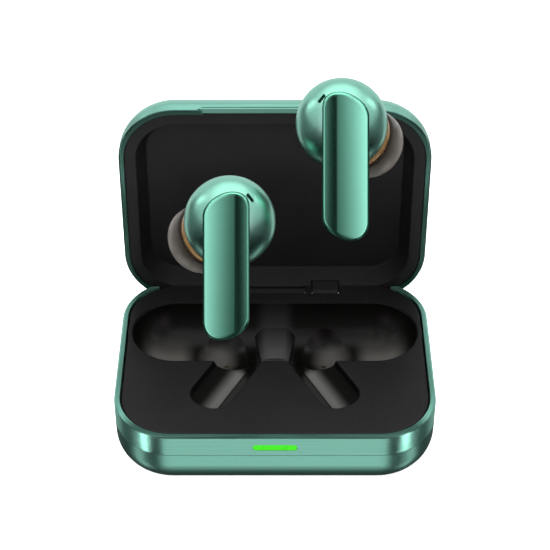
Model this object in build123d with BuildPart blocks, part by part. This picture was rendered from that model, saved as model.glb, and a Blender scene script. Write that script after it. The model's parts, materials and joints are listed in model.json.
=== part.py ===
from build123d import *
import math
import os

# True-wireless earbuds in a flat clamshell charging case, lid open.
# Millimetres, +Z up, +Y to the hinge at the back. The origin is the centre of the base's flat bottom.

# ---- case, driving sizes ----
CASE_W = 65.0
CASE_D = 48.0
CORNER_R = 12.0
SEAM_Z = 15.0            # top of the base, where the closed lid meets it
LID_H = 9.3
BAND_Z = 10.0            # bottom of the brushed band on the base
WALL = 1.1
BASE_ROUND = 7.0
LID_BAND = 2.6           # height of the brushed band on the lid
LID_ROUND = 6.3
LINER_RIM = 3.6          # from the lid's outside to the edge of the recess in its liner

# ---- hinge ----
HINGE_Y = 21.1
HINGE_Z = 13.5
LID_ANGLE = 94.0         # from closed
KNUCKLE_R = 1.15
PIN_R = 0.5
LEAF_X = 11.0            # the middles of the lid's two hinge leaves

# ---- cradle ----
DECK_Z = 14.7
DECK_T = 1.4
POCKET_WALL = 0.9
CRADLE_GAP = 1.35        # from the case's outside to the cradle's edge
BAY_Y = 7.8             # the wide opening that holds both heads
BAY_R = 9.4
BAY_X = 30.2
TROUGH_LIFT = 2.6        # the trough's own axis runs this far above the deck
BOWL_X = 10.7
BOWL_Y = 7.0
BOWL_R = 8.3
SLOT_ANGLE = 28.0
SLOT_W = 9.0
SLOT_L = 23.0
SLOT_DEPTH = 5.4         # at the fold between the slot's two long facets
SLOT_FOLD = 0.4          # the fold's place, from the middle towards the saddle
SLOT_LEANS = (36.0, -47.0)

# ---- earbud ----
STEM_W = 8.3
STEM_T = 5.4
STEM_SHIFT = 0.47        # its middle line from the head's centre, to the outer side
STEM_MID = -8.1          # half way between its two ends, below the head's centre
STEM_HALF = 13.15
# the four curves round its two ends, as their control points
STEM_ENDS = (
    ((4.15, 2.2), (4.15, 4.0), (3.1, 5.05), (1.1, 5.05)),
    ((1.1, 5.05), (-1.2, 5.05), (-4.15, 3.0), (-4.15, 0.6)),
    ((-4.15, -18.0), (-4.15, -19.8), (-3.1, -21.25), (-1.1, -21.25)),
    ((-1.1, -21.25), (1.3, -21.25), (4.15, -19.5), (4.15, -17.2)),
)
HEAD_C = 6.6             # head's centre behind the stem's face
HEAD_RX = 8.3
HEAD_RY = 5.7
HEAD_RZ = 8.3
NOZZLE_DIR = (0.60, 0.73, -0.33)
BUD_LEAN = 40.0          # how far the hovering buds lean back
BUD_ORIGINS = {"left": (-8.16, -21.08, 66.88), "right": (12.02, -9.78, 80.38)}

os.makedirs("parts", exist_ok=True)


def save(part, name):
    part.label = name
    export_step(part, f"parts/{name}.step")


def lid_plane(height=0.0):
    """A plane on the lid whose local X, Y and height are the closed lid's own coordinates."""
    a = math.radians(LID_ANGLE)
    up = (0, math.sin(a), math.cos(a))
    back = (0, math.cos(a), -math.sin(a))
    y = HINGE_Y - HINGE_Y * back[1] - HINGE_Z * up[1]
    z = HINGE_Z - HINGE_Y * back[2] - HINGE_Z * up[2]
    plane = Plane(origin=(0, y, z), x_dir=(1, 0, 0), z_dir=up)
    return plane.offset(height)


def bud_plane(name):
    """A plane at an earbud: local Z runs up the stem, Y runs back from the stem's face."""
    a = math.radians(BUD_LEAN)
    return Plane(origin=BUD_ORIGINS[name], x_dir=(1, 0, 0), z_dir=(0, math.sin(a), math.cos(a)))


def outline(inset, extra_r=0.0):
    RectangleRounded(CASE_W - 2 * inset, CASE_D - 2 * inset, CORNER_R - inset + extra_r)


# ================= base =================
with BuildPart() as base_cavity:
    with BuildSketch(Plane.XY.offset(WALL)):
        outline(WALL)
    extrude(amount=BAND_Z)
    fillet(base_cavity.faces().sort_by(Axis.Z)[0].edges(), BASE_ROUND - WALL)

with BuildPart() as base_shell:
    with BuildSketch(Plane.XY):
        outline(0)
    extrude(amount=BAND_Z - 0.05)
    fillet(base_shell.faces().sort_by(Axis.Z)[0].edges(), BASE_ROUND)
    add(base_cavity.part, mode=Mode.SUBTRACT)
    with BuildSketch(Plane.XZ.offset(-CASE_D / 2 - 1)):
        with Locations((0, 4.0)):
            SlotOverall(9.3, 3.5)
    extrude(amount=6, mode=Mode.SUBTRACT)
save(base_shell.part, "base_shell")

with BuildPart() as base_band:
    with BuildSketch(Plane.XY.offset(BAND_Z + 0.05)):
        outline(0)
    extrude(amount=SEAM_Z - BAND_Z - 0.05)
    fillet(base_band.faces().sort_by(Axis.Z)[-1].edges(), 0.45)
    with BuildSketch(Plane.XY.offset(BAND_Z)):
        outline(WALL)
    extrude(amount=SEAM_Z, mode=Mode.SUBTRACT)
    # the back is open above the seam, where the lid's own back wall swings down
    with BuildSketch(Plane.XY.offset(BAND_Z + 0.05)):
        with Locations((0, 21.8 + 5)):
            Rectangle(CASE_W, 10)
    extrude(amount=SEAM_Z, mode=Mode.SUBTRACT)
    # window for the status light
    with BuildSketch(Plane.XZ.offset(CASE_D / 2 + 1)):
        with Locations((0, 12.2)):
            SlotOverall(8.9, 1.6)
    extrude(amount=-4, mode=Mode.SUBTRACT)
save(base_band.part, "base_band")

with BuildPart() as status_light:
    with BuildSketch(Plane.XZ.offset(CASE_D / 2 - 0.08)):
        with Locations((0, 12.2)):
            SlotOverall(8.8, 1.5)
    extrude(amount=-1.6)
save(status_light.part, "status_light")


def stem_slot(side, grow):
    """A stem slot: it runs out and forward from beside the saddle, over two long facets."""
    a = math.radians(SLOT_ANGLE)
    mid = 8.4
    x = side * (5.25 + math.sin(a) * mid)
    y = 2.79 - math.cos(a) * mid
    frame = Location((x, y, DECK_Z + 0.01), (0, 0, side * SLOT_ANGLE))
    fold = frame * Location((-side * SLOT_FOLD, 0, -SLOT_DEPTH - 1.2 * grow))
    with BuildPart() as slot:
        with BuildSketch(Plane(frame)):
            RectangleRounded(SLOT_W + 2 * grow, SLOT_L + 2 * grow, 3.9 + grow)
        extrude(amount=-(SLOT_DEPTH + 2 * grow), taper=3)
        for lean in SLOT_LEANS:
            split(bisect_by=Plane(fold * Location((0, 0, 0), (0, -side * lean, 0))), keep=Keep.TOP)
    return slot.part


slots = {(side, grow): stem_slot(side, grow) for side in (-1, 1) for grow in (0, POCKET_WALL)}


def pockets(grow):
    """The wide bay, its trough, the head bowls and the stem slots, larger by grow for their walls."""
    end = BAY_X - BAY_R
    trough_r = math.hypot(BAY_R - 0.05, TROUGH_LIFT) + grow
    with BuildSketch(Plane.XY.offset(DECK_Z + 0.01)) as bay:
        with Locations((0, BAY_Y)):
            SlotOverall(2 * (BAY_X + grow), 2 * (BAY_R + grow))
    extrude(bay.sketch, amount=-(0.35 + grow))
    with Locations((0, BAY_Y, DECK_Z + TROUGH_LIFT)):
        Cylinder(trough_r, 2 * end, rotation=(0, 90, 0))
    with Locations((-end, BAY_Y, DECK_Z + TROUGH_LIFT), (end, BAY_Y, DECK_Z + TROUGH_LIFT)):
        Sphere(trough_r)
    for side in (-1, 1):
        add(slots[side, grow])
        with Locations((side * BOWL_X, BOWL_Y, DECK_Z - 0.4)):
            Sphere(BOWL_R + grow)


with BuildPart() as pocket_walls:
    pockets(POCKET_WALL)

with BuildPart() as pocket_space:
    pockets(0)

with BuildPart() as saddle:
    with BuildSketch(Plane.YZ):
        with BuildLine():
            ramp = Spline((17.0, 9.6), (11.0, 10.6), (5.0, 12.5), (0.9, 13.75), (0.3, 13.7))
            Polyline(ramp @ 1, (0.2, 13.1), (-1.9, 13.1), (-1.9, 6.9), (17.0, 6.9), ramp @ 0)
        make_face()
    extrude(amount=6, both=True)
    with BuildSketch(Plane.XY):
        Polygon((-4.9, 17.3), (-2.6, -2.0), (2.6, -2.0), (4.9, 17.3), align=None)
    extrude(amount=DECK_Z, mode=Mode.INTERSECT)
    # a rounded back, falling with the ramp
    with Locations((0, 8.65, 6.0)):
        Cylinder(5.6, 60, rotation=(-103.8, 0, 0), mode=Mode.INTERSECT)

with BuildPart() as cradle:
    with BuildSketch(Plane.XY.offset(DECK_Z - DECK_T)):
        outline(CRADLE_GAP)
    extrude(amount=DECK_T)
    fillet(cradle.faces().sort_by(Axis.Z)[-1].edges(), 0.5)
    add(pocket_walls.part)
    # back wall under the lid's edge, with a round top that the lid turns around
    with Locations((0, 21.65, (BAND_Z + 0.1 + HINGE_Z) / 2)):
        Box(46.4, 1.0, HINGE_Z - BAND_Z - 0.1)
    with Locations((0, HINGE_Y, HINGE_Z)):
        Cylinder(1.85, 46.4, rotation=(0, 90, 0))
    # nothing above the deck
    with BuildSketch(Plane.XY.offset(DECK_Z)):
        Rectangle(2 * CASE_W, 2 * CASE_D)
    extrude(amount=20, mode=Mode.SUBTRACT)
    add(pocket_space.part, mode=Mode.SUBTRACT)
    add(saddle.part)
    # room for the hinge: the base's carrier in the middle and the lid's two leaves beside it
    with BuildSketch(Plane.XY.offset(11.6)):
        with Locations((-LEAF_X, 22.85), (LEAF_X, 22.85)):
            Rectangle(5.9, 6.0)
    extrude(amount=10, mode=Mode.SUBTRACT)
    with BuildSketch(Plane.XY.offset(BAND_Z)):
        with Locations((0, 22.85)):
            Rectangle(13.1, 6.0)
    extrude(amount=10, mode=Mode.SUBTRACT)
    with Locations((0, HINGE_Y, HINGE_Z)):
        Cylinder(PIN_R + 0.03, 29, rotation=(0, 90, 0), mode=Mode.SUBTRACT)
    # holes for the charging pins
    with Locations(*[(side * x, 5.6, 0) for side in (-1, 1) for x in (10.4, 12.8)]):
        Cylinder(0.55, 16, mode=Mode.SUBTRACT)
save(cradle.part, "cradle")

with BuildPart() as charge_pins:
    with Locations(*[(side * x, 5.6, 2.45) for side in (-1, 1) for x in (10.4, 12.8)]):
        Cylinder(0.5, 3.2, align=(Align.CENTER, Align.CENTER, Align.MIN))
save(charge_pins.part, "charge_pins")

with BuildPart() as case_board:
    with BuildSketch(Plane.XY.offset(1.6)):
        with Locations((0, 9.0)):
            RectangleRounded(38, 16, 2.0)
    extrude(amount=0.8)
save(case_board.part, "case_board")

with BuildPart() as charge_port:
    with BuildSketch(Plane.XZ.offset(-15.6)):
        with Locations((0, 4.0)):
            SlotOverall(8.9, 3.1)
            SlotOverall(8.3, 2.5, mode=Mode.SUBTRACT)
    extrude(amount=-7.0)
    with BuildSketch(Plane.XZ.offset(-15.6)):
        with Locations((0, 4.0)):
            SlotOverall(8.9, 3.1)
    extrude(amount=-0.8)
    with BuildSketch(Plane.XZ.offset(-15.6)):
        with Locations((0, 4.0)):
            Rectangle(6.6, 0.7)
    extrude(amount=-6.0)
save(charge_port.part, "charge_port")

with BuildPart() as case_battery:
    with Locations((0, -10.6, 3.6)):
        Box(28, 13.4, 4.0)
    fillet(case_battery.edges().filter_by(Axis.X), 1.4)
save(case_battery.part, "case_battery")

with BuildPart() as base_magnets:
    with Locations((-20, -17.8, DECK_Z - DECK_T - 1.6), (20, -17.8, DECK_Z - DECK_T - 1.6)):
        Box(6, 3, 1.5, align=(Align.CENTER, Align.CENTER, Align.MIN))
save(base_magnets.part, "base_magnets")

# ================= hinge =================
HINGE_AXIS = Plane(origin=(0, HINGE_Y, HINGE_Z), x_dir=(0, 1, 0), z_dir=(1, 0, 0))


def knuckle(x, length, leg):
    """One knuckle of the hinge centred at x, with leg as its closed outline's far corners."""
    with BuildSketch(HINGE_AXIS.offset(x - length / 2)) as profile:
        Circle(KNUCKLE_R)
        Polygon(*leg, align=None)
    extrude(profile.sketch, amount=length)
    with BuildSketch(HINGE_AXIS.offset(x - length / 2 - 1)) as bore:
        Circle(PIN_R + 0.03)
    extrude(bore.sketch, amount=length + 2, mode=Mode.SUBTRACT)


with BuildPart() as hinge_carrier:
    # it fills its gap flush with the deck, round at the back
    with BuildSketch(HINGE_AXIS.offset(-6.5)):
        Circle(KNUCKLE_R)
        Polygon((-1.2, 1.2), (-1.2, -3.3), (1.1, -3.3), (1.1, 0), (0.3, 1.2), align=None)
    extrude(amount=13.0)
    with BuildSketch(HINGE_AXIS.offset(-8)):
        Circle(PIN_R + 0.03)
    extrude(amount=16, mode=Mode.SUBTRACT)
save(hinge_carrier.part, "hinge_carrier")

with BuildPart() as hinge_pin:
    with BuildSketch(HINGE_AXIS.offset(-14.2)):
        Circle(PIN_R)
    extrude(amount=28.4)
save(hinge_pin.part, "hinge_pin")

# ================= lid =================
LID_TOP = SEAM_Z + LID_H
BAND_TOP = SEAM_Z + 0.2 + LID_BAND

with BuildPart() as lid_cavity:
    with BuildSketch(lid_plane(BAND_TOP - 1)):
        outline(WALL)
    extrude(amount=LID_TOP - WALL - BAND_TOP + 1)
    fillet(lid_cavity.faces().sort_by(lambda f: lid_plane().to_local_coords(f.center()).Z)[-1].edges(),
           LID_ROUND - WALL)

with BuildPart() as lid_shell:
    with BuildSketch(lid_plane(BAND_TOP + 0.05)):
        outline(0)
    extrude(amount=LID_TOP - BAND_TOP - 0.05)
    fillet(lid_shell.faces().sort_by(lambda f: lid_plane().to_local_coords(f.center()).Z)[-1].edges(),
           LID_ROUND)
    add(lid_cavity.part, mode=Mode.SUBTRACT)
save(lid_shell.part, "lid_shell")

with BuildPart() as lid_band:
    with BuildSketch(lid_plane(SEAM_Z + 0.2)):
        outline(0)
    extrude(amount=LID_BAND)
    fillet(lid_band.faces().sort_by(lambda f: lid_plane().to_local_coords(f.center()).Z)[0].edges(), 0.4)
    with BuildSketch(lid_plane(SEAM_Z)):
        outline(WALL)
    extrude(amount=10, mode=Mode.SUBTRACT)
    # finger scoop along the front edge
    with BuildSketch(lid_plane(SEAM_Z)):
        with Locations((0, -CASE_D / 2)):
            Trapezoid(31.5, 1.3, 45, 45, align=(Align.CENTER, Align.MIN))
    extrude(amount=0.75, mode=Mode.SUBTRACT)
    # fine groove that parts its lip from the band
    with BuildSketch(lid_plane(SEAM_Z + 1.2)):
        with Locations((0, -CASE_D / 2)):
            Trapezoid(30.0, 0.6, 60, 60, align=(Align.CENTER, Align.MIN))
    extrude(amount=0.32, mode=Mode.SUBTRACT)
save(lid_band.part, "lid_band")

with BuildPart() as lid_liner:
    with BuildSketch(lid_plane(SEAM_Z + 0.5)):
        outline(WALL + 0.05)
    extrude(amount=1.1)
    with BuildSketch(lid_plane(SEAM_Z + 0.5)):
        outline(LINER_RIM - 0.9)
    extrude(amount=5.4, taper=22)
    with BuildSketch(lid_plane(SEAM_Z + 0.5)):
        outline(LINER_RIM)
    extrude(amount=4.6, taper=22, mode=Mode.SUBTRACT)
    # the hinge leaves come through beside the back edge
    with BuildSketch(lid_plane(SEAM_Z)):
        with Locations((-LEAF_X, HINGE_Y), (LEAF_X, HINGE_Y)):
            Rectangle(6.0, 2.5)
    extrude(amount=2.0, mode=Mode.SUBTRACT)
save(lid_liner.part, "lid_liner")

with BuildPart() as lid_magnets:
    with BuildSketch(lid_plane(SEAM_Z + 1.62)):
        with Locations((-15, -21.6), (15, -21.6)):
            Rectangle(6.0, 1.4)
    extrude(amount=1.3)
save(lid_magnets.part, "lid_magnets")

with BuildPart() as lid_leaves:
    a = math.radians(LID_ANGLE)
    lid_up = (math.sin(a), math.cos(a))
    lid_back = (math.cos(a), -math.sin(a))
    corners = [(-1.15, 0.0), (-1.15, 3.3), (1.15, 3.3), (1.15, 0.0)]
    leg = [(b * lid_back[0] + u * lid_up[0], b * lid_back[1] + u * lid_up[1]) for b, u in corners]
    for x in (-LEAF_X, LEAF_X):
        knuckle(x, 5.6, leg)
save(lid_leaves.part, "lid_leaves")


# ================= earbuds =================
def point(name, x, y, z):
    return bud_plane(name).from_local_coords(Vector(x, y, z))


def local_plane(name, origin, z_dir, x_dir=None):
    """A plane placed in an earbud's own coordinates."""
    frame = bud_plane(name)
    start = frame.from_local_coords(Vector(origin))
    z_world = frame.from_local_coords(Vector(z_dir)) - frame.origin
    x_world = frame.from_local_coords(Vector(x_dir)) - frame.origin if x_dir else None
    return Plane(origin=start, x_dir=x_world, z_dir=z_world)


def face_plane(name, y):
    """A plane parallel to the stem's face, y behind it; its normal points to the front."""
    return local_plane(name, (0, y, 0), (0, -1, 0), (1, 0, 0))


def nozzle_plane(name, out, along):
    direction = (out * NOZZLE_DIR[0], NOZZLE_DIR[1], NOZZLE_DIR[2])
    length = math.sqrt(sum(v * v for v in direction))
    origin = [v * along / length for v in direction]
    origin[1] += HEAD_C
    return local_plane(name, tuple(origin), direction)


def head_solid(name, out, wall):
    """The head's round body, smaller by wall all over."""
    with BuildPart() as solid:
        with BuildSketch(local_plane(name, (0, HEAD_C, 0), (-0.6, 0, 0.8), (0.8, 0, 0.6))):
            Ellipse(HEAD_RX - wall, HEAD_RY - wall)
            with Locations((out * HEAD_RX, 0)):
                Rectangle(2 * HEAD_RX, 4 * HEAD_RY, mode=Mode.SUBTRACT)
        middle = local_plane(name, (0, HEAD_C, 0), (0, 1, 0))
        revolve(axis=Axis(middle.origin, middle.z_dir))
    return solid.part


def stem_outline(out, inset):
    """The stem's front outline: long straight sides and round ends whose crowns sit to opposite sides."""
    w = STEM_W / 2
    wide = (w - inset) / w
    high = (STEM_HALF - inset) / STEM_HALF
    with BuildSketch() as flat:
        with BuildLine():
            ends = []
            for points in STEM_ENDS:
                ends.append(Bezier(*[
                    (out * (STEM_SHIFT - x * wide), STEM_MID + (z - STEM_MID) * high) for x, z in points
                ]))
            for i in (1, 3):
                Line(ends[i] @ 1, ends[(i + 1) % 4] @ 0)
        make_face()
    return flat.sketch


def stem_solid(name, out, inset, front, back):
    with BuildPart() as solid:
        shape = stem_outline(out, inset)
        with BuildSketch(face_plane(name, front)) as flat:
            add(shape)
        extrude(flat.sketch, amount=-(back - front))
    return solid.part


def save_piece(part, name, piece):
    """The pieces are shaped as the left earbud's, and the right one's are their mirror image."""
    if name == "right":
        part = part.mirror(Plane(origin=BUD_ORIGINS[name], z_dir=(1, 0, 0)))
    save(part, f"{name}_{piece}")


def make_bud(name):
    """All pieces of one earbud; out is the sign of local X on the ear tip's side."""
    out = -1
    inner_head = head_solid(name, out, 1.0)
    stem_core = stem_solid(name, out, 0, 0, STEM_T)
    nozzle_hole = nozzle_plane(name, out, 4.4)

    with BuildPart() as head:
        add(head_solid(name, out, 0))
        add(inner_head, mode=Mode.SUBTRACT)
        add(stem_core, mode=Mode.SUBTRACT)
        with BuildSketch(nozzle_hole):
            Circle(2.6)
        extrude(amount=6, mode=Mode.SUBTRACT)
        with BuildSketch(face_plane(name, 1.5)):
            with Locations((-out * 3.75, 4.05)):
                SlotOverall(1.84, 0.54, rotation=out * 52)
        extrude(amount=-3, mode=Mode.SUBTRACT)
    save_piece(head.part, name, "head")

    with BuildPart() as stem:
        add(stem_solid(name, out, 0, 0.7, STEM_T))
        add(stem_solid(name, out, 0.9, 0.7, STEM_T - 0.9), mode=Mode.SUBTRACT)
        add(inner_head, mode=Mode.SUBTRACT)
        with BuildSketch(face_plane(name, STEM_T - 1.2)):
            with Locations((out * 1.9, -15.7), (out * -0.7, -15.7)):
                Circle(0.73)
        extrude(amount=-2, mode=Mode.SUBTRACT)
    save_piece(stem.part, name, "stem")

    with BuildPart() as face:
        add(stem_solid(name, out, 0.12, 0.4, 0.66))
        # an edge bevelled in two steps
        for low, high in (((0.12, 0.4), (0.26, 0.13)), ((0.26, 0.13), (0.55, 0.0))):
            with BuildSketch(face_plane(name, low[1])) as below:
                add(stem_outline(out, low[0]))
            with BuildSketch(face_plane(name, high[1])) as above:
                add(stem_outline(out, high[0]))
            loft([below.sketch, above.sketch], ruled=True)
    save_piece(face.part, name, "stem_face")

    with BuildPart() as board:
        with BuildSketch(face_plane(name, 2.7)):
            with Locations((out * 0.47, -9.9)):
                RectangleRounded(5.4, 14.0, 0.8)
        extrude(amount=-0.8)
    save_piece(board.part, name, "board")

    with BuildPart() as contacts:
        with BuildSketch(face_plane(name, STEM_T - 0.9)):
            with Locations((out * 1.9, -15.7), (out * -0.7, -15.7)):
                Circle(0.7)
        extrude(amount=-0.95)
    save_piece(contacts.part, name, "contacts")

    with BuildPart() as cell:
        with BuildSketch(face_plane(name, HEAD_C - 2.9)):
            Circle(4.4)
        extrude(amount=-2.8)
        fillet(cell.edges(), 0.4)
    save_piece(cell.part, name, "cell")

    with BuildPart() as driver:
        with BuildSketch(nozzle_plane(name, out, 2.45)):
            Circle(2.4)
        extrude(amount=1.15)
    save_piece(driver.part, name, "driver")

    with BuildPart() as nozzle:
        with BuildSketch(nozzle_plane(name, out, 4.6)):
            Circle(2.55)
            Circle(1.9, mode=Mode.SUBTRACT)
        extrude(amount=6.4)
        with BuildSketch(nozzle_plane(name, out, 10.1)):
            Circle(2.8)
            Circle(1.9, mode=Mode.SUBTRACT)
        extrude(amount=0.9)
    save_piece(nozzle.part, name, "nozzle")

    with BuildPart() as mesh:
        with BuildSketch(nozzle_plane(name, out, 10.6)):
            Circle(1.88)
        extrude(amount=0.25)
    save_piece(mesh.part, name, "nozzle_mesh")

    with BuildPart() as ring:
        with BuildSketch(nozzle_plane(name, out, 7.12)):
            Circle(3.9)
            Circle(2.58, mode=Mode.SUBTRACT)
        extrude(amount=0.6)
        fillet(ring.faces().sort_by(Axis(nozzle_hole.origin, nozzle_hole.z_dir))[-1].edges(), 0.25)
    save_piece(ring.part, name, "ring")

    with BuildPart() as tip:
        base = nozzle_plane(name, out, 0)
        side = Plane(origin=base.origin, x_dir=base.x_dir, z_dir=base.y_dir)
        with BuildSketch(side) as profile:
            with BuildLine():
                dome = Spline((3.3, -13.3), (4.9, -12.6), (6.1, -10.9), (6.4, -9.2), (6.2, -7.5))
                hollow = Spline((5.6, -7.5), (5.75, -9.2), (5.5, -10.6), (4.5, -11.8), (3.7, -12.1))
                Polyline(dome @ 1, hollow @ 0)
                Polyline(hollow @ 1, (3.5, -11.9), (3.5, -7.75), (2.85, -7.75), (2.85, -13.3), dome @ 0)
            make_face()
        revolve(axis=Axis(base.origin, base.z_dir))
    save_piece(tip.part, name, "ear_tip")

    with BuildPart() as mic:
        with BuildSketch(face_plane(name, 2.1)):
            with Locations((-out * 3.75, 4.05)):
                SlotOverall(1.8, 0.5, rotation=out * 52)
        extrude(amount=-1.3)
    save_piece(mic.part, name, "mic_mesh")


make_bud("left")
make_bud("right")
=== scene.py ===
import bpy
import bmesh
import json
import math
from mathutils import Vector, Matrix


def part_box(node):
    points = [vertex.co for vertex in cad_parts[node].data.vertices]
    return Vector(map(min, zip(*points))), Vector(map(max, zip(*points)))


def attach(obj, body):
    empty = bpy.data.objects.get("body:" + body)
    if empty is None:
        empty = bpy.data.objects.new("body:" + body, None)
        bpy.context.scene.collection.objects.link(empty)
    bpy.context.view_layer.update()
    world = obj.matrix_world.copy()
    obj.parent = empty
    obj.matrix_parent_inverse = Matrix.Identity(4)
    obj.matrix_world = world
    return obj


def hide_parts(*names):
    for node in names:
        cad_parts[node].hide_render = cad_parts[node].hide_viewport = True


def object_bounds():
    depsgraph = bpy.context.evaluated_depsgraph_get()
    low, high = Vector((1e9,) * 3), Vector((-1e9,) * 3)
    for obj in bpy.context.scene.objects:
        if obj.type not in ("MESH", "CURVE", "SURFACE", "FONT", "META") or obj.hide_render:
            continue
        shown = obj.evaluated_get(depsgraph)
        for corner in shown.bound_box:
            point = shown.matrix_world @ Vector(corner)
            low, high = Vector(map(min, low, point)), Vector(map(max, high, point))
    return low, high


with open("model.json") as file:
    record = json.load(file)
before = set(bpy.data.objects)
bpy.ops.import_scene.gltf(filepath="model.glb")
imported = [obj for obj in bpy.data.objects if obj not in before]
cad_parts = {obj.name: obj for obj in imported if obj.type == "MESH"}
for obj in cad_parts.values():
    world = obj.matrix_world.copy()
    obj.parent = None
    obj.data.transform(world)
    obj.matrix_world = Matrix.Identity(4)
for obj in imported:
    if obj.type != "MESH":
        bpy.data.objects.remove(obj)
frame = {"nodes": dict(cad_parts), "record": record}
CAD_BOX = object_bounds()
NODES = frame["nodes"]
BUDS = ("left", "right")


# ---------------------------------------------------------------- materials
class Mat:
    """A material with short calls for the nodes that it uses."""

    def __init__(self, name, **values):
        self.m = bpy.data.materials.new(name)
        self.m.use_nodes = True
        self.t = self.m.node_tree
        self.bsdf = self.t.nodes["Principled BSDF"]
        for key, value in values.items():
            self.bsdf.inputs[key.replace("_", " ")].default_value = value

    def node(self, kind, **values):
        n = self.t.nodes.new(kind)
        for key, value in values.items():
            if hasattr(n, key):
                setattr(n, key, value)
            else:
                n.inputs[key.replace("_", " ")].default_value = value
        return n

    def link(self, a, b):
        self.t.links.new(a, b)

    def coords(self, scale=(1, 1, 1), tilt=0.0):
        """Object coordinates, turned about X and scaled; a CAD node's are the row frame's, in metres."""
        c = self.node("ShaderNodeTexCoord").outputs["Object"]
        if tilt:
            turn = self.node("ShaderNodeVectorRotate", rotation_type="X_AXIS", Angle=math.radians(tilt))
            self.link(c, turn.inputs["Vector"])
            c = turn.outputs["Vector"]
        m = self.node("ShaderNodeMapping")
        m.inputs["Scale"].default_value = scale
        self.link(c, m.inputs["Vector"])
        return m.outputs["Vector"]

    def noise(self, vector, scale, detail, roughness=0.5):
        n = self.node("ShaderNodeTexNoise", Scale=scale, Detail=detail, Roughness=roughness)
        self.link(vector, n.inputs["Vector"])
        return n.outputs["Fac"]

    def ramp(self, fac, stops):
        """A colour ramp through (position, colour) stops."""
        n = self.node("ShaderNodeValToRGB")
        e = n.color_ramp.elements
        while len(e) < len(stops):
            e.new(0.5)
        for item, (at, colour) in zip(e, stops):
            item.position = at
            item.color = (*colour, 1)
        self.link(fac, n.inputs["Fac"])
        return n.outputs["Color"]

    def span(self, value, start, end, low, high, kind="SMOOTHSTEP"):
        """A run from low at start to high at end, level outside them."""
        n = self.node("ShaderNodeMapRange", interpolation_type=kind)
        for key, number in (("From Min", start), ("From Max", end), ("To Min", low), ("To Max", high)):
            n.inputs[key].default_value = number
        self.link(value, n.inputs["Value"])
        return n.outputs["Result"]

    def window(self, value, start, full, fade, end):
        """Rises from 0 at start to 1 at full, and falls from 1 at fade to 0 at end."""
        rising = self.span(value, start, full, 0.0, 1.0)
        return self.calc("MULTIPLY", rising, self.span(value, fade, end, 1.0, 0.0))

    def remap(self, fac, low, high):
        """Stretches the middle half of a noise, where most of it lies, to low..high."""
        return self.span(fac, 0.25, 0.75, low, high, "LINEAR")

    def split(self, vector):
        """The X, Y and Z of a vector."""
        n = self.node("ShaderNodeSeparateXYZ")
        self.link(vector, n.inputs["Vector"])
        return n.outputs["X"], n.outputs["Y"], n.outputs["Z"]

    def feed(self, socket, value):
        """Links the socket to another one, or sets it to a number."""
        if isinstance(value, bpy.types.NodeSocket):
            self.link(value, socket)
        else:
            socket.default_value = value

    def calc(self, operation, a, b=None):
        """One step of arithmetic on sockets or numbers."""
        n = self.node("ShaderNodeMath", operation=operation)
        self.feed(n.inputs[0], a)
        if b is not None:
            self.feed(n.inputs[1], b)
        return n.outputs[0]

    def blend(self, fac, a, b):
        """A number between a and b."""
        n = self.node("ShaderNodeMix", data_type="FLOAT")
        for socket, value in ((n.inputs[0], fac), (n.inputs[2], a), (n.inputs[3], b)):
            self.feed(socket, value)
        return n.outputs[0]

    def mix(self, fac, a, b):
        """A colour between a and b."""
        n = self.node("ShaderNodeMix", data_type="RGBA")
        for socket, value in ((n.inputs[0], fac), (n.inputs[6], a), (n.inputs[7], b)):
            self.feed(socket, (*value, 1) if isinstance(value, tuple) else value)
        return n.outputs[2]

    def bump(self, height, strength, distance, normal=None):
        n = self.node("ShaderNodeBump", Strength=strength, Distance=distance)
        self.link(height, n.inputs["Height"])
        if normal:
            self.link(normal, n.inputs["Normal"])
        return n.outputs["Normal"]

    def bevel(self, radius):
        """Normals that read as rounded edges."""
        n = self.node("ShaderNodeBevel", Radius=radius)
        n.samples = 6
        return n.outputs["Normal"]

    def set(self, **links):
        """Links sockets to the shader's inputs."""
        for key, socket in links.items():
            self.link(socket, self.bsdf.inputs[key.replace("_", " ")])


def satin_mint():
    """Bead-blasted, anodised aluminium: fine grain and a faint drift of colour."""
    mat = Mat("satin_mint", Metallic=1.0)
    big = mat.noise(mat.coords(), 45, 3)
    fine = mat.noise(mat.coords(), 5200, 2)
    mat.set(Base_Color=mat.ramp(big, [(0.3, (0.215, 0.52, 0.42)), (0.7, (0.23, 0.545, 0.445))]),
            Roughness=mat.remap(fine, 0.27, 0.32),
            Normal=mat.bump(fine, 0.04, 0.00002))
    return mat.m


def brushed_mint(name, tilt, axis, edge, front_only):
    """Anodised band brushed along its length: long thin streaks at constant height above its seam.

    tilt turns the streaks with the band, axis is the one that the band runs round, and front_only keeps
    the painted shade on the cut edge to the case's front."""
    mat = Mat(name, Metallic=1.0, Anisotropic=0.9, Anisotropic_Rotation=0.25)
    around = mat.node("ShaderNodeTangent", direction_type="RADIAL", axis=axis)
    mat.link(around.outputs["Tangent"], mat.bsdf.inputs["Tangent"])
    streak = mat.noise(mat.coords((60, 60, 5200), tilt), 1.0, 5, 0.6)
    broad = mat.noise(mat.coords((14, 14, 900), tilt), 1.0, 3, 0.5)
    tint = mat.ramp(streak, [(0.3, (0.19, 0.47, 0.375)), (0.7, (0.28, 0.62, 0.515))])
    colour = mat.mix(mat.remap(broad, 0.0, 0.5), tint, (0.23, 0.54, 0.44))
    # painted shade darkens the cut edge, where shadow falls in the gap beside it; edge is where that starts
    # and ends in the band's own height
    _, y, height = mat.split(mat.coords(tilt=tilt))
    rim_shade = mat.span(height, *edge, 0.0, 0.85)
    if front_only:
        rim_shade = mat.calc("MULTIPLY", rim_shade, mat.span(y, -0.021, -0.017, 1.0, 0.0))
    # mixes in the painted shade's dark green
    colour = mat.mix(rim_shade, colour, (0.02, 0.05, 0.04))
    mat.set(Base_Color=colour, Roughness=mat.remap(streak, 0.30, 0.42),
            Normal=mat.bump(streak, 0.1, 0.00003))
    return mat.m


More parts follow.
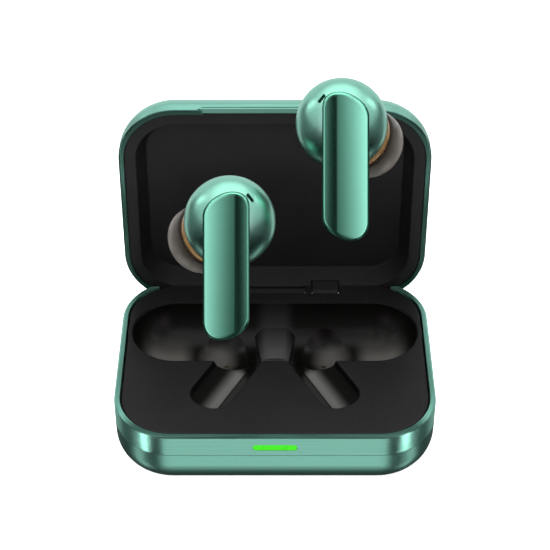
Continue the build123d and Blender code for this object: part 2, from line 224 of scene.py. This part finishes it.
SLOT_TURN = math.radians(28)     # how far the stem slots turn outwards
BOWL_OUT, BOWL_BACK = 0.0122, 0.0068     # where a head bowl's middle is


def past_fold(mat, x_out, y):
    """How far out a place lies, measured square to a stem slot's fold."""
    across = mat.calc("MULTIPLY", x_out, math.cos(SLOT_TURN))
    return mat.calc("ADD", across, mat.calc("MULTIPLY", y, math.sin(SLOT_TURN)))


def pocket_finish(mat, x_out, y, grain):
    """Roughness: polished along the slots' folds, duller away from them, and even in the bay behind."""
    slot = mat.span(past_fold(mat, x_out, y), 0.0058, 0.0092, 0.2, 0.75)
    inside = mat.blend(mat.span(y, 0.0, 0.003, 0.0, 1.0), slot, 0.27)
    return mat.calc("ADD", inside, mat.remap(grain, 0.0, 0.06))


def pocket_painted_light(mat, x_out, y):
    """Near black, with painted highlights: paler areas where the pockets would catch soft light."""
    # painted highlight on the saddle between the pockets
    across = mat.span(x_out, 0.0016, 0.0046, 1.0, 0.0)
    saddle = mat.calc("MULTIPLY", across, mat.span(y, 0.001, 0.019, 1.0, 0.1))
    tint = mat.mix(saddle, (0.0015, 0.0014, 0.0012), (0.040, 0.040, 0.0395))
    # painted highlights on the floors of the bay's ends, fading towards the back
    lobe = mat.window(x_out, 0.0165, 0.0205, 0.025, 0.029)
    lobe = mat.calc("MULTIPLY", lobe, mat.span(y, 0.005, 0.0125, 1.0, 0.0))
    tint = mat.mix(lobe, tint, (0.07, 0.068, 0.063))
    # painted highlights on the floors of the bowls
    dx = mat.calc("SUBTRACT", x_out, BOWL_OUT)
    dy = mat.calc("SUBTRACT", y, BOWL_BACK)
    squared = mat.calc("ADD", mat.calc("MULTIPLY", dx, dx), mat.calc("MULTIPLY", dy, dy))
    bowl = mat.span(mat.calc("SQRT", squared), 0.001, 0.0052, 1.0, 0.0)
    tint = mat.mix(bowl, tint, (0.052, 0.05, 0.046))
    # painted highlights on the slots' outer facets, beside the fold
    beside = mat.window(past_fold(mat, x_out, y), 0.0055, 0.0058, 0.006, 0.0085)
    beside = mat.calc("MULTIPLY", beside, mat.span(y, -0.001, 0.001, 1.0, 0.0))
    return mat.mix(beside, tint, (0.085, 0.085, 0.082))


def moulded_black(name, level, rough, bevel, pocket_top=None):
    """Moulded black plastic with a fine spark-eroded grain. What lies below pocket_top is a pocket, with
    painted highlights.
    """
    mat = Mat(name)
    mat.bsdf.inputs["Specular IOR Level"].default_value = 0.13
    grain = mat.noise(mat.coords(), 6500, 2)
    patch = mat.noise(mat.coords(), 60, 3)
    low, high = level * 0.85, level * 1.15
    tint = mat.ramp(patch, [(0.3, (low, low, low * 1.02)), (0.7, (high, high, high * 1.02))])
    finish = mat.remap(grain, rough - 0.05, rough + 0.08)
    if pocket_top is not None:
        x, y, z = mat.split(mat.coords())
        x_out = mat.calc("ABSOLUTE", x)
        above = mat.span(z, pocket_top - 0.0002, pocket_top + 0.0002, 0.0, 1.0, "LINEAR")
        finish = mat.blend(above, pocket_finish(mat, x_out, y, grain), finish)
        # below pocket_top, the pockets' near black with painted highlights
        tint = mat.mix(above, pocket_painted_light(mat, x_out, y), tint)
    mat.set(Base_Color=tint, Roughness=finish, Normal=mat.bump(grain, 0.12, 0.00002, mat.bevel(bevel)))
    return mat.m


def bare_metal(name, colour, rough, scale=(900, 900, 900)):
    """Plain or plated metal with fine streaks, drawn out along an axis whose scale is low."""
    mat = Mat(name, Metallic=1.0)
    streak = mat.noise(mat.coords(scale), 1.0, 4)
    dark = tuple(c * 0.85 for c in colour)
    mat.set(Base_Color=mat.ramp(streak, [(0.3, dark), (0.7, colour)]),
            Roughness=mat.remap(streak, rough * 0.8, rough * 1.25),
            Normal=mat.bump(streak, 0.08, 0.00002, mat.bevel(0.0001)))
    return mat.m


def lit_lens():
    """The status light's lens, lit green."""
    mat = Mat("status_glow", Roughness=0.25)
    cloud = mat.noise(mat.coords(), 900, 2)
    mat.set(Base_Color=mat.ramp(cloud, [(0.3, (0.008, 0.16, 0.002)), (0.7, (0.012, 0.2, 0.003))]),
            Emission_Color=mat.ramp(cloud, [(0.3, (0.046, 0.52, 0.011)), (0.7, (0.054, 0.58, 0.013))]))
    mat.bsdf.inputs["Emission Strength"].default_value = 1.0
    mat.bsdf.inputs["Specular IOR Level"].default_value = 0.1
    return mat.m


def pearl(name, low, high, rough):
    """Pearl lacquer: metallic flake under a clear coat."""
    mat = Mat(name, Metallic=1.0)
    mat.bsdf.inputs["Coat Weight"].default_value = 0.08
    mat.bsdf.inputs["Coat Roughness"].default_value = 0.04
    flake = mat.node("ShaderNodeTexVoronoi", Scale=9000)
    mat.link(mat.coords(), flake.inputs["Vector"])
    drift = mat.noise(mat.coords(), 80, 3)
    colour = mat.ramp(drift, [(0.3, low), (0.7, high)])
    mat.set(Base_Color=colour, Roughness=mat.remap(flake.outputs["Distance"], rough, rough + 0.1),
            Normal=mat.bump(flake.outputs["Distance"], 0.015, 0.00001))
    return mat.m


def silicone(name, neck, axis):
    """Smoke-grey translucent silicone with a matt bloom, darker towards the neck."""
    mat = Mat(name, Roughness=0.42)
    mat.bsdf.inputs["Transmission Weight"].default_value = 0.45
    mat.bsdf.inputs["Coat Weight"].default_value = 0.3
    mat.bsdf.inputs["Coat Roughness"].default_value = 0.15
    mat.bsdf.inputs["IOR"].default_value = 1.41
    mat.bsdf.inputs["Subsurface Weight"].default_value = 0.3
    mat.bsdf.inputs["Subsurface Radius"].default_value = (0.003, 0.0026, 0.002)
    bloom = mat.noise(mat.coords(), 400, 4)
    along = mat.node("ShaderNodeVectorMath", operation="DOT_PRODUCT")
    mat.link(mat.coords(), along.inputs[0])
    along.inputs[1].default_value = axis
    out = mat.calc("SUBTRACT", along.outputs["Value"], axis.dot(neck))
    outer = mat.ramp(bloom, [(0.3, (0.13, 0.116, 0.098)), (0.7, (0.19, 0.172, 0.148))])
    mat.set(Base_Color=mat.mix(mat.span(out, 0.0070, 0.0105, 0.0, 1.0), (0.035, 0.029, 0.023), outer),
            Roughness=mat.remap(bloom, 0.36, 0.5))
    return mat.m


def amber():
    """Translucent amber plastic with a faint swirl."""
    mat = Mat("amber_ring", Roughness=0.2)
    mat.bsdf.inputs["Transmission Weight"].default_value = 0.3
    mat.bsdf.inputs["Coat Weight"].default_value = 0.4
    swirl = mat.noise(mat.coords(), 600, 3)
    mat.set(Base_Color=mat.ramp(swirl, [(0.3, (0.17, 0.09, 0.028)), (0.7, (0.28, 0.16, 0.055))]))
    return mat.m


def woven_mesh(name, dark, pale):
    """Metal gauze: two crossing sets of wires."""
    mat = Mat(name, Metallic=1.0)
    a = mat.node("ShaderNodeTexWave", Scale=900)
    b = mat.node("ShaderNodeTexWave", Scale=900, bands_direction="Z")
    for wave in (a, b):
        mat.link(mat.coords(), wave.inputs["Vector"])
    both = mat.calc("MULTIPLY", a.outputs["Fac"], b.outputs["Fac"])
    mat.set(Base_Color=mat.ramp(both, [(0.1, dark), (0.5, pale)]), Normal=mat.bump(both, 0.4, 0.00004))
    mat.bsdf.inputs["Roughness"].default_value = 0.4
    return mat.m


def circuit_board():
    """Green solder mask, paler over the tracks."""
    mat = Mat("board_green", Roughness=0.35)
    cell = mat.node("ShaderNodeTexVoronoi", Scale=700, feature="DISTANCE_TO_EDGE")
    mat.link(mat.coords(), cell.inputs["Vector"])
    tracks, mask = (0.02, 0.12, 0.06), (0.01, 0.06, 0.03)
    mat.set(Base_Color=mat.ramp(cell.outputs["Distance"], [(0.05, tracks), (0.2, mask)]))
    return mat.m


BASE_EDGE = (0.0146, 0.0149)     # the heights over which painted shade darkens the base band's cut edge
POCKET_TOP = 0.0143              # just below the cradle's top, past the pockets' rounded edges
LID_TURN = 94.0                  # degrees from the open lid to the closed one

# by material slot; the tips' is made for each tip
SLOT_MATERIALS = {
    "satin_mint": satin_mint(),
    "brushed_mint": brushed_mint("brushed_mint", 0.0, "Z", BASE_EDGE, True),
    "status_glow": lit_lens(),
    "cradle_black": moulded_black("cradle_black", 0.006, 0.30, 0.0003, POCKET_TOP),
    "liner_black": moulded_black("liner_black", 0.008, 0.34, 0.0004),
    "gold_pin": bare_metal("gold_pin", (0.83, 0.60, 0.25), 0.2),
    "board_green": circuit_board(),
    "port_steel": bare_metal("port_steel", (0.55, 0.55, 0.57), 0.3),
    "pouch_foil": bare_metal("pouch_foil", (0.6, 0.6, 0.62), 0.4, (300, 300, 300)),
    "magnet_nickel": bare_metal("magnet_nickel", (0.66, 0.65, 0.63), 0.18),
    "hinge_black": moulded_black("hinge_black", 0.008, 0.6, 0.0001),
    "pin_steel": bare_metal("pin_steel", (0.62, 0.62, 0.63), 0.22, (3000, 60, 60)),
    "bud_pearl": pearl("bud_pearl", (0.235, 0.55, 0.44), (0.25, 0.57, 0.46), 0.28),
    "bud_metallic": pearl("bud_metallic", (0.172, 0.60, 0.42), (0.187, 0.62, 0.435), 0.07),
    "nozzle_black": moulded_black("nozzle_black", 0.02, 0.35, 0.0001),
    "mesh_steel": woven_mesh("mesh_steel", (0.01, 0.01, 0.01), (0.09, 0.09, 0.095)),
    "amber_ring": amber(),
    "tip_silicone": None,
}
SLOT_OF = {s["node"]: s["material_slot"] for s in frame["record"]["subparts"]}


HEAD_ROUND = 0.0083      # half the head's width
HEAD_FLAT = 0.0057       # half its thickness, front to back
NOZZLE = (0.60, 0.73, -0.33)     # the nozzle's direction: outwards, back from the face, up the stem
LEAN = math.radians(40)          # how far the shown earbuds lean back
UP = Vector((0, math.sin(LEAN), math.cos(LEAN)))         # up along a stem
BACK = Vector((0, math.cos(LEAN), -math.sin(LEAN)))      # back from its face


def nozzle_frame(name):
    """Origin in the head's middle, Z out along the nozzle."""
    side = -1 if name == "left" else 1
    z = (Vector((side * NOZZLE[0], 0, 0)) + NOZZLE[1] * BACK + NOZZLE[2] * UP).normalized()
    x = Vector((0, 0, 1)).cross(z).normalized()
    low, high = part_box(f"{name}_head")
    half_y = math.hypot(HEAD_FLAT * BACK.y, HEAD_ROUND * UP.y)
    half_z = math.hypot(HEAD_FLAT * BACK.z, HEAD_ROUND * UP.z)
    middle = Vector(((low.x + high.x) / 2, high.y - half_y, high.z - half_z))
    return Matrix.Translation(middle) @ Matrix((x, z.cross(x), z)).transposed().to_4x4()


for name, obj in NODES.items():
    obj.data.materials.clear()
    material = SLOT_MATERIALS[SLOT_OF[name]]
    if material is None:
        at = nozzle_frame(name.split("_")[0])
        material = silicone(f"silicone_{name}", at.translation, at.col[2].to_3d())
    obj.data.materials.append(material)
# the open lid's band is brushed round the lid; turned closed, the lid has its cut edge lowest, and painted
# shade darkens that edge all round
closed = Matrix.Rotation(math.radians(LID_TURN), 3, "X")
rim = min((closed @ v.co).z for v in NODES["lid_band"].data.vertices)
lid_edge = (rim + 0.0004, rim + 0.0001)
NODES["lid_band"].data.materials[0] = brushed_mint("brushed_mint_lid", LID_TURN, "Y", lid_edge, False)
for name in NODES:
    if "mic" in name:
        NODES[name].data.materials[0] = woven_mesh("mic_mesh", (0.006, 0.03, 0.022), (0.03, 0.12, 0.09))


# ---------------------------------------------------------------- pieces made here
def new_piece(name, bm, at, slot):
    """A smooth-shaded object from the bmesh, in that frame and that slot's material."""
    bmesh.ops.recalc_face_normals(bm, faces=bm.faces)
    mesh = bpy.data.meshes.new(name)
    bm.to_mesh(mesh)
    bm.free()
    for p in mesh.polygons:
        p.use_smooth = True
    piece = bpy.data.objects.new(name, mesh)
    bpy.context.scene.collection.objects.link(piece)
    piece.matrix_world = at
    mesh.materials.append(SLOT_MATERIALS[slot])
    return piece


# ---------------------------------------------------------------- the earbuds' stem faces
def face_frame(name):
    """The frame of a stem's face, with its origin in the middle: X across, Y back from it, Z up the stem."""
    low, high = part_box(f"{name}_stem_face")
    turn = Matrix((Vector((1, 0, 0)), BACK, UP)).transposed().to_4x4()
    return Matrix.Translation((low + high) / 2) @ turn


HALF_W = 0.00415         # half the face's width
HALF_H = 0.01315         # half its height
# the rounded ends, each two Bezier curves: across in half widths, up in metres
CROWN = (((-1, 0.0087), (-1, 0.0111), (-0.289, HALF_H), (0.265, HALF_H)),
         ((0.265, HALF_H), (0.747, HALF_H), (1, 0.0121), (1, 0.0103)))
FOOT = (((-1, -0.0099), (-1, -0.0117), (-0.747, -HALF_H), (-0.265, -HALF_H)),
        ((-0.265, -HALF_H), (0.313, -HALF_H), (1, -0.0114), (1, -0.0091)))
CREASE = 0.44            # the fold's place across the half width, towards the inner side
FACE_LIFT = 0.00083      # how far the fold stands in front of the face's middle
# the rim's rings from the face outwards: how far each is set in from the outline, and back from the face
RIM = ((0.00040, 0.0), (0.00030, 0.00003), (0.00020, 0.00012), (0.00013, 0.00026), (0.00012, 0.0006))
ROWS = 48                # quads up the face
WIDE_STEPS, NARROW_STEPS = 40, 20         # quads across the wide facet and the narrow one
CROWDING = 1.8           # brings the columns closer together towards the sides, where the ends are steep


def bezier(points, t):
    """The place at t in 0..1 on a cubic Bezier curve."""
    (x0, z0), (x1, z1), (x2, z2), (x3, z3) = points
    k = ((1 - t) ** 3, 3 * t * (1 - t) ** 2, 3 * t * t * (1 - t), t ** 3)
    return (k[0] * x0 + k[1] * x1 + k[2] * x2 + k[3] * x3, k[0] * z0 + k[1] * z1 + k[2] * z2 + k[3] * z3)


def curve_at(curves, x):
    """Height of an end's curve at x in -1..1."""
    points = curves[0] if x <= curves[0][3][0] else curves[1]
    low, high = 0.0, 1.0
    for _ in range(30):
        t = (low + high) / 2
        if bezier(points, t)[0] < x:
            low = t
        else:
            high = t
    return bezier(points, t)[1]


def rise(start, end, u):
    """Height at u in 0..1 of a curve whose slope runs from start to end, in degrees."""
    return math.tan(math.radians(start)) * (u - u * u / 2) + math.tan(math.radians(end)) * u * u / 2


def bulge(x, outer):
    """How far the face stands out at x in -1..1, from the fold where its two facets meet."""
    wide = (CREASE + 1) * HALF_W
    if outer:
        return wide * rise(13, 5, (x + 1) / (CREASE + 1)) - wide * rise(13, 5, 1.0)
    return -(1 - CREASE) * HALF_W * rise(0.5, 9, (x - CREASE) / (1 - CREASE))


def weld_seams(bm, flip):
    """Join points in the same place, except along the fold, which stays sharp."""
    fold = CREASE * HALF_W
    keep = [v for v in bm.verts if abs(flip * v.co.x - fold) > 0.00003]
    bmesh.ops.remove_doubles(bm, verts=keep, dist=2e-7)


def make_facet(bm, flip, columns, outer):
    """One facet of the face and its share of the rim, on columns at those places across."""
    grid = []
    for x in columns:
        top, low = curve_at(CROWN, x), curve_at(FOOT, x)
        grid.append([(x, low + (top - low) * r / ROWS, bulge(x, outer)) for r in range(ROWS + 1)])

    def point(place, inset, drop):
        """A vertex at a place of the grid, set in from the outline by inset and back by drop."""
        x, z, out = place
        kx, kz = (HALF_W - inset) / HALF_W, (HALF_H - inset) / HALF_H
        return bm.verts.new((flip * x * HALF_W * kx, -FACE_LIFT - out + drop, z * kz))

    inner = [[point(place, *RIM[0]) for place in column] for column in grid]
    for left, right in zip(inner, inner[1:]):
        for r in range(ROWS):
            bm.faces.new((left[r], right[r], right[r + 1], left[r + 1]))
    crown = [(c, ROWS) for c in range(len(grid))]
    foot = [(c, 0) for c in range(len(grid))]
    side = [(0 if outer else len(grid) - 1, r) for r in range(ROWS + 1)]
    for path in (crown, foot, side):
        last = [inner[c][r] for c, r in path]
        for step in RIM[1:]:
            now = [point(grid[c][r], *step) for c, r in path]
            for i in range(len(path) - 1):
                bm.faces.new((last[i], last[i + 1], now[i + 1], now[i]))
            last = now


def make_face(name):
    """The polished face plate: a wide facet and a narrow one, the fold between them and a bevelled rim."""
    flip = 1 if name == "left" else -1
    bm = bmesh.new()
    wide_facet = [-1 + (CREASE + 1) * (i / WIDE_STEPS) ** CROWDING for i in range(WIDE_STEPS + 1)]
    narrow_facet = [1 - (1 - CREASE) * (1 - i / NARROW_STEPS) ** CROWDING for i in range(NARROW_STEPS + 1)]
    make_facet(bm, flip, wide_facet, True)
    make_facet(bm, flip, narrow_facet, False)
    weld_seams(bm, flip)
    plate = new_piece(f"{name}_face_plate", bm, face_frame(name), "bud_metallic")
    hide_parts(f"{name}_stem_face")
    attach(plate, f"{name}_earbud")


for bud in BUDS:
    make_face(bud)


# ---------------------------------------------------------------- the collar between head and ear tip
# (radius, height along the nozzle), in metres
COLLAR = ((0.0027, 0.0058), (0.0052, 0.0044), (0.0059, 0.0054), (0.00605, 0.0064), (0.0058, 0.0071),
          (0.0050, 0.0076), (0.0038, 0.0078), (0.0027, 0.0078))


def lathe(profile, steps=96):
    """A turned ring whose section is the closed profile of (radius, height) points."""
    bm = bmesh.new()
    rings = []
    for radius, height in profile:
        turns = [2 * math.pi * i / steps for i in range(steps)]
        rings.append([bm.verts.new((radius * math.cos(a), radius * math.sin(a), height)) for a in turns])
    for a, b in zip(rings, rings[1:] + rings[:1]):
        for i in range(steps):
            j = (i + 1) % steps
            bm.faces.new((a[i], a[j], b[j], b[i]))
    return bm


for bud in BUDS:
    collar = new_piece(f"{bud}_collar", lathe(COLLAR), nozzle_frame(bud), "amber_ring")
    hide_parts(f"{bud}_ring")
    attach(collar, f"{bud}_earbud")


# ---------------------------------------------------------------- floor, lights, camera
floor_mat = Mat("floor", Roughness=0.7)
floor_mat.bsdf.inputs["Emission Color"].default_value = (1, 1, 1, 1)
floor_mat.bsdf.inputs["Emission Strength"].default_value = 0.7
cloud = floor_mat.noise(floor_mat.coords(), 2.5, 2)
floor_mat.set(Base_Color=floor_mat.ramp(cloud, [(0.3, (0.86, 0.86, 0.86)), (0.7, (0.88, 0.88, 0.88))]))
bpy.ops.mesh.primitive_plane_add(size=30, location=(0, 0, CAD_BOX[0].z - 0.0002))
floor = bpy.context.object
floor.name = "floor"
floor.data.materials.append(floor_mat.m)
floor.visible_glossy = False

world = bpy.data.worlds.new("studio")
bpy.context.scene.world = world
world.use_nodes = True
world.node_tree.nodes["Background"].inputs["Color"].default_value = (0.95, 0.97, 1.0, 1)
world.node_tree.nodes["Background"].inputs["Strength"].default_value = 0.06

AIM = Vector((0, 0, 0.05))


def area_light(name, at, target, width, height, power):
    """A soft lamp that lights matt surfaces; the cards below are what shiny ones reflect."""
    data = bpy.data.lights.new(name, "AREA")
    data.shape = "RECTANGLE"
    data.size, data.size_y, data.energy = width, height, power
    lamp = bpy.data.objects.new(name, data)
    bpy.context.scene.collection.objects.link(lamp)
    lamp.location = at
    lamp.rotation_euler = (Vector(target) - Vector(at)).to_track_quat("-Z", "Y").to_euler()
    lamp.visible_glossy = False


area_light("top", (0, -0.15, 1.3), (0, 0, 0), 2.4, 2.4, 40)
area_light("back_top", (0, 0.42, 1.05), (0, 0, 0), 0.8, 0.6, 9)
area_light("front", (0, -1.2, 0.9), (0, 0, 0.03), 1.2, 0.8, 10)


def card(name, at, target, width, height, near, far, power=1.0, tint=(1, 1, 1), axis="X"):
    """A glowing card; its strength runs from near to far along its width (axis X) or up it (axis Y).

    power bends that run, and tint is the colour of its stronger end."""
    mat = bpy.data.materials.new(name)
    mat.use_nodes = True
    tree = mat.node_tree
    tree.nodes.clear()
    where = tree.nodes.new("ShaderNodeTexCoord")
    split = tree.nodes.new("ShaderNodeSeparateXYZ")
    along = tree.nodes.new("ShaderNodeMapRange")
    curve = tree.nodes.new("ShaderNodeMath")
    colour = tree.nodes.new("ShaderNodeMix")
    fade = tree.nodes.new("ShaderNodeMath")
    glow = tree.nodes.new("ShaderNodeEmission")
    out = tree.nodes.new("ShaderNodeOutputMaterial")
    # the strength rises from its lower end
    along.inputs["To Min"].default_value = 0.0 if far >= near else 1.0
    along.inputs["To Max"].default_value = 1.0 if far >= near else 0.0
    curve.operation = "POWER"
    curve.inputs[1].default_value = power
    colour.data_type = "RGBA"
    colour.inputs[6].default_value = (1, 1, 1, 1)
    colour.inputs[7].default_value = (*tint, 1)
    fade.operation = "MULTIPLY_ADD"
    fade.inputs[1].default_value = abs(far - near)
    fade.inputs[2].default_value = min(far, near)
    tree.links.new(where.outputs["Generated"], split.inputs["Vector"])
    tree.links.new(split.outputs[axis], along.inputs["Value"])
    tree.links.new(along.outputs["Result"], curve.inputs[0])
    tree.links.new(curve.outputs[0], fade.inputs[0])
    tree.links.new(along.outputs["Result"], colour.inputs[0])
    tree.links.new(colour.outputs[2], glow.inputs["Color"])
    tree.links.new(fade.outputs[0], glow.inputs["Strength"])
    tree.links.new(glow.outputs["Emission"], out.inputs["Surface"])
    bpy.ops.mesh.primitive_plane_add(size=1, location=at)
    plane = bpy.context.object
    plane.name = name
    plane.scale = (width, height, 1)
    # level across, and along X for a card that faces nearly straight up or down
    z = (Vector(target) - Vector(at)).normalized()
    x = Vector((0, 1, 0)).cross(z) if abs(z.z) > 0.95 else Vector((0, 0, 1)).cross(z)
    x.normalize()
    plane.rotation_euler = Matrix((x, z.cross(x), z)).transposed().to_euler()
    plane.data.materials.append(mat)
    plane.visible_camera = False
    plane.visible_diffuse = False
    plane.visible_shadow = False
    plane.visible_transmission = False


def toward(azimuth, elevation, distance):
    """A place around the object; azimuth 0 is in front, positive to the right."""
    a, e = math.radians(azimuth), math.radians(elevation)
    return AIM + distance * Vector((math.sin(a) * math.cos(e), -math.cos(a) * math.cos(e), math.sin(e)))


# beside the line that the stems face, dark in the middle and brighter outwards
aside = math.radians(20)
for side in (-1, 1):
    spot = AIM + 0.6 * (-math.cos(aside) * BACK + side * math.sin(aside) * Vector((1, 0, 0)))
    ends = (2.4, 0.02) if side > 0 else (0.02, 2.4)
    card(f"beside_{side}", spot, AIM, 0.40, 0.36, *ends, power=2.5, tint=(1.35, 0.97, 1.12))
# over the object, for the heads' tops
card("overhead", (0, 0.06, 0.62), AIM, 0.72, 0.82, 2.0, 2.0)
# behind, for the lid's upper edge
card("behind", toward(180, 33, 0.8), AIM, 0.42, 0.5, 0.85, 0.85)
# low and wide behind, for the heads' outer edges
card("backdrop", (0, 0.75, 0.12), AIM, 2.0, 1.0, 1.0, 1.0)
# low in front, for the band and the shell's side
card("low_front", toward(0, -52, 0.6), (0, 0, 0.01), 0.40, 0.60, 0.05, 2.5, power=1.9, axis="Y")
card("level_front", toward(0, -16, 0.6), (0, 0, 0.01), 0.40, 0.22, 1.5, 1.5)
for side in (-1, 1):
    # upright strips, which the brushed corners draw out into bright stripes
    card(f"strip_{side}", (side * 0.453, -0.394, -0.095), (0, 0, 0.01), 0.12, 0.15, 27, 27)
    # lower, for the shell under them
    card(f"foot_{side}", toward(side * 72, -50, 0.6), (0, 0, 0.01), 0.15, 0.3, 0.9, 0.9)
    # wide and dim, for the heads' sides
    card(f"wide_{side}", toward(side * 84, 40, 0.7), AIM, 0.7, 0.5, 0.85, 0.85)
    card(f"fill_{side}", toward(side * 84, -4, 0.8), AIM, 0.6, 0.45, 0.2, 0.2)
    card(f"rear_strip_{side}", toward(180 - side * 48, 34, 0.6), AIM, 0.13, 0.42, 0.9, 0.9)
    card(f"side_{side}", toward(side * 118, -20, 0.7), (0, 0, 0.02), 0.3, 0.5, 0.9, 0.9)
    # high at the sides, for the slots' long facets
    ends = (0.0, 6.0) if side > 0 else (6.0, 0.0)
    card(f"facet_{side}", toward(side * 110, 36, 0.6), (0, -0.01, 0.01), 0.16, 0.2, *ends)
# a black flag over the low cards, which keeps them off the heads
card("flag", (0, -0.19, 0.022), (0, -0.19, 1), 0.9, 0.28, 0, 0)

# the camera stands where the case's outline in the picture puts it
CAM_AT = (0.0, -0.2372, 0.2356)
CAM_LEAN = 50.0          # degrees up from looking straight down
CAM_LENS = 101.9         # mm, on a 36 mm sensor
camera = bpy.data.objects.new("camera", bpy.data.cameras.new("camera"))
bpy.context.scene.collection.objects.link(camera)
camera.location = CAM_AT
camera.rotation_euler = (math.radians(CAM_LEAN), 0, 0)
camera.data.lens = CAM_LENS
camera.data.sensor_width = 36
camera.data.clip_start = 0.01
bpy.context.scene.camera = camera
bpy.context.scene.view_settings.view_transform = "Standard"
